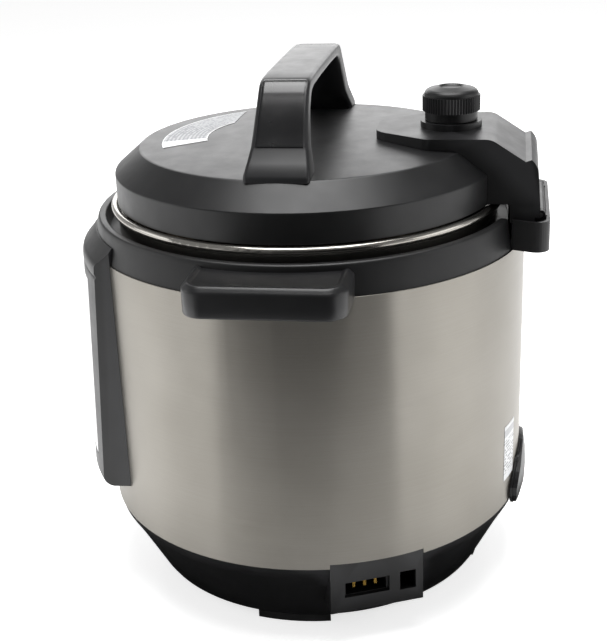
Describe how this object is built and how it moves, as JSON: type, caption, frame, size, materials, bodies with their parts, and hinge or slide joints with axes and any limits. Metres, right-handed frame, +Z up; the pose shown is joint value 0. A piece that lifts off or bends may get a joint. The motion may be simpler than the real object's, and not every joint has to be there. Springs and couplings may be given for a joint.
{
  "type": "electric pressure rice cooker",
  "caption": "Round electric rice and pressure cooker with a brushed steel body, hinged lid that a bridge handle locks, steam knob, side handles and front control panel.",
  "frame": {"origin": "on the table under the middle of the object's bounding box", "axes": "+Z up, the control panel faces -Y, the lid hinge is at +Y, the side handles are at +X and -X"},
  "size_m": [0.334, 0.309, 0.341],
  "materials": {
    "shell_plastic": "satin moulded black polypropylene",
    "lid_plastic": "satin moulded charcoal polypropylene",
    "handle_plastic": "satin moulded dark grey plastic",
    "inlay_gloss": "gloss black insert",
    "knob_plastic": "satin black phenolic",
    "cup_plastic": "satin black plastic",
    "button_plastic": "satin dark grey key caps",
    "fascia_gloss": "gloss black panel",
    "display_glass": "smoked display window",
    "socket_plastic": "black heat-proof socket moulding",
    "component_plastic": "dark electronic parts",
    "switch_cream": "cream switch body",
    "fuse_tan": "tan fuse holder",
    "board_green": "green circuit board",
    "board_brown": "brown power board",
    "label_white": "printed white label film",
    "float_red": "red float valve",
    "seal_silicone": "translucent white silicone",
    "foot_rubber": "black rubber",
    "sleeve_steel": "stainless steel brushed round the body",
    "pot_steel": "bright stainless steel",
    "plated_steel": "zinc-plated steel",
    "cast_aluminium": "cast aluminium",
    "pin_brass": "brass contact"
  },
  "bodies": {
    "cooker_body": {"base_shell": "shell_plastic", "bottom_cover": "plated_steel", "feet": "foot_rubber", "base_screws": "plated_steel", "body_sleeve": "sleeve_steel", "collar": "shell_plastic", "side_handle_right": "handle_plastic", "side_handle_left": "handle_plastic", "side_handle_screws": "plated_steel", "control_housing": "shell_plastic", "control_fascia": "fascia_gloss", "display_window": "display_glass", "control_board": "board_green", "outer_pot": "pot_steel", "heating_plate": "cast_aluminium", "inner_pot": "pot_steel", "hinge_pin": "plated_steel", "power_inlet": "socket_plastic", "inlet_pins": "pin_brass", "power_board": "board_brown", "board_components": "component_plastic", "pressure_switch": "switch_cream", "thermal_fuse": "fuse_tan", "sensor_bracket": "plated_steel", "sensor_spring": "plated_steel", "rating_label": "label_white", "cup_rail": "shell_plastic"},
    "sensor": {"temperature_sensor": "cast_aluminium"},
    "cup": {"condensation_cup": "cup_plastic"},
    "lid": {"lid_cover": "lid_plastic", "valve_hood": "lid_plastic", "lid_label": "label_white", "pressure_lid": "pot_steel", "sealing_ring": "seal_silicone", "seal_retainer": "plated_steel", "vent_pipe": "pot_steel", "vent_filter": "pot_steel", "float_guide": "pot_steel", "lid_screws": "plated_steel"},
    "lock": {"lid_handle": "handle_plastic", "handle_inlays": "inlay_gloss", "lock_plate": "pot_steel", "lock_screws": "plated_steel"},
    "knob": {"steam_knob": "knob_plastic", "knob_weight": "plated_steel"},
    "float": {"float_valve": "float_red", "float_seal": "seal_silicone"},
    "key_1": {"button_1": "button_plastic"},
    "key_2": {"button_2": "button_plastic"},
    "key_3": {"button_3": "button_plastic"},
    "key_4": {"button_4": "button_plastic"},
    "key_5": {"button_5": "button_plastic"},
    "key_6": {"button_6": "button_plastic"},
    "key_7": {"button_7": "button_plastic"},
    "key_8": {"button_8": "button_plastic"}
  },
  "joints": [
    {"name": "lid_hinge", "type": "hinge", "parent": "cooker_body", "child": "lid", "pos_m": [0, 0.1493, 0.2506], "axis": [-1, 0, 0], "range_deg": [0, 85]},
    {"name": "handle_turn", "type": "hinge", "parent": "lid", "child": "lock", "pos_m": [0, 0, 0.26], "axis": [0, 0, -1], "range_deg": [0, 18]},
    {"name": "knob_turn", "type": "hinge", "parent": "lid", "child": "knob", "pos_m": [0, 0.093, 0.305], "axis": [0, 0, -1], "range_deg": [0, 45]},
    {"name": "float_rise", "type": "slide", "parent": "lid", "child": "float", "axis": [0, 0, 1], "range_m": [0, 0.0038]},
    {"name": "sensor_press", "type": "slide", "parent": "cooker_body", "child": "sensor", "axis": [0, 0, -1], "range_m": [0, 0.003], "stiffness_N_per_m": 600, "springref_m": -0.001, "deforming": ["sensor_spring"]},
    {"name": "cup_slide", "type": "slide", "parent": "cooker_body", "child": "cup", "axis": [0, 1, 0], "range_m": [0, 0.03]},
    {"name": "key_1_press", "type": "slide", "parent": "cooker_body", "child": "key_1", "axis": [0.1564, 0.9877, 0], "range_m": [0, 0.001], "stiffness_N_per_m": 400},
    {"name": "key_2_press", "type": "slide", "parent": "cooker_body", "child": "key_2", "axis": [-0.1564, 0.9877, 0], "range_m": [0, 0.001], "stiffness_N_per_m": 400},
    {"name": "key_3_press", "type": "slide", "parent": "cooker_body", "child": "key_3", "axis": [0.1564, 0.9877, 0], "range_m": [0, 0.001], "stiffness_N_per_m": 400},
    {"name": "key_4_press", "type": "slide", "parent": "cooker_body", "child": "key_4", "axis": [-0.1564, 0.9877, 0], "range_m": [0, 0.001], "stiffness_N_per_m": 400},
    {"name": "key_5_press", "type": "slide", "parent": "cooker_body", "child": "key_5", "axis": [0.1564, 0.9877, 0], "range_m": [0, 0.001], "stiffness_N_per_m": 400},
    {"name": "key_6_press", "type": "slide", "parent": "cooker_body", "child": "key_6", "axis": [-0.1564, 0.9877, 0], "range_m": [0, 0.001], "stiffness_N_per_m": 400},
    {"name": "key_7_press", "type": "slide", "parent": "cooker_body", "child": "key_7", "axis": [0.1564, 0.9877, 0], "range_m": [0, 0.001], "stiffness_N_per_m": 400},
    {"name": "key_8_press", "type": "slide", "parent": "cooker_body", "child": "key_8", "axis": [-0.1564, 0.9877, 0], "range_m": [0, 0.001], "stiffness_N_per_m": 400}
  ]
}
